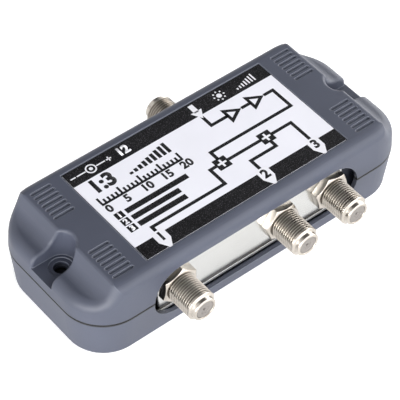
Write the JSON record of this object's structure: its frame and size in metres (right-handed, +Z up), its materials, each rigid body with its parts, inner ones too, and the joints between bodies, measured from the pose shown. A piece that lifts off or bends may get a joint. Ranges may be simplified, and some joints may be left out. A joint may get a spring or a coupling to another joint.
{
  "type": "tv signal amplifier",
  "caption": "Aerial distribution amplifier: drafted two-part plastic case round a tinplate can, threaded coaxial ports front and back, wall holes in end scoops.",
  "frame": {"origin": "the middle of the underside, where the case rests", "axes": "+X along the case to the right as seen from the three outputs, +Y towards the input side, +Z up"},
  "size_m": [0.118, 0.0702, 0.028],
  "materials": {
    "casing_plastic": "moulded, blue-grey, satin",
    "label_film": "printed film, semi-gloss",
    "tinplate": "tinned sheet steel, satin",
    "nickel_plate": "nickel plated, bright",
    "insulator_plastic": "moulded, pale grey",
    "contact_bronze": "spring bronze",
    "screw_steel": "zinc plated",
    "board_laminate": "glass-epoxy laminate with solder resist",
    "black_plastic": "moulded, black",
    "white_plastic": "moulded, white",
    "lamp_resin": "tinted resin, clear gloss",
    "tinned_wire": "tinned",
    "ferrite": "sintered, dark grey",
    "copper_wire": "enamelled copper",
    "aluminium_can": "drawn, satin",
    "ceramic": "sintered, tan",
    "black_ceramic": "sintered, black glaze"
  },
  "bodies": {
    "base": {"can_bottom_lid": "tinplate", "can_frame": "tinplate", "can_top_lid": "tinplate", "case_screws": "screw_steel", "chip_resistors": "black_ceramic", "choke_winding": "copper_wire", "circuit_board": "board_laminate", "coupling_capacitors": "ceramic", "dc_jack_body": "black_plastic", "dc_jack_pin": "nickel_plate", "dc_jack_spring": "nickel_plate", "first_splitter_core": "ferrite", "gain_trimmer_body": "black_plastic", "input_amplifier": "black_plastic", "input_body": "nickel_plate", "input_contact": "contact_bronze", "input_insulator": "insulator_plastic", "led_leads": "tinned_wire", "lower_base": "casing_plastic", "output_a_body": "nickel_plate", "output_a_contact": "contact_bronze", "output_a_insulator": "insulator_plastic", "output_amplifier": "black_plastic", "output_b_body": "nickel_plate", "output_b_contact": "contact_bronze", "output_b_insulator": "insulator_plastic", "output_c_body": "nickel_plate", "output_c_contact": "contact_bronze", "output_c_insulator": "insulator_plastic", "reverse_diode": "black_plastic", "second_splitter_core": "ferrite", "splitter_windings": "copper_wire", "status_led": "lamp_resin", "supply_capacitor": "aluminium_can", "supply_choke": "ferrite", "voltage_regulator": "black_plastic"},
    "cover": {"upper_cover": "casing_plastic", "label": "label_film"},
    "rotor": {"gain_trimmer_rotor": "white_plastic"}
  },
  "joints": [
    {"name": "cover_lift", "type": "slide", "parent": "base", "child": "cover", "axis": [0, 0, 1], "range_m": [0, 0.03]},
    {"name": "gain_turn", "type": "hinge", "parent": "base", "child": "rotor", "pos_m": [0.02831, 0.0219, 0.01918], "axis": [0, 1, 0], "range_deg": [-135, 135]}
  ]
}
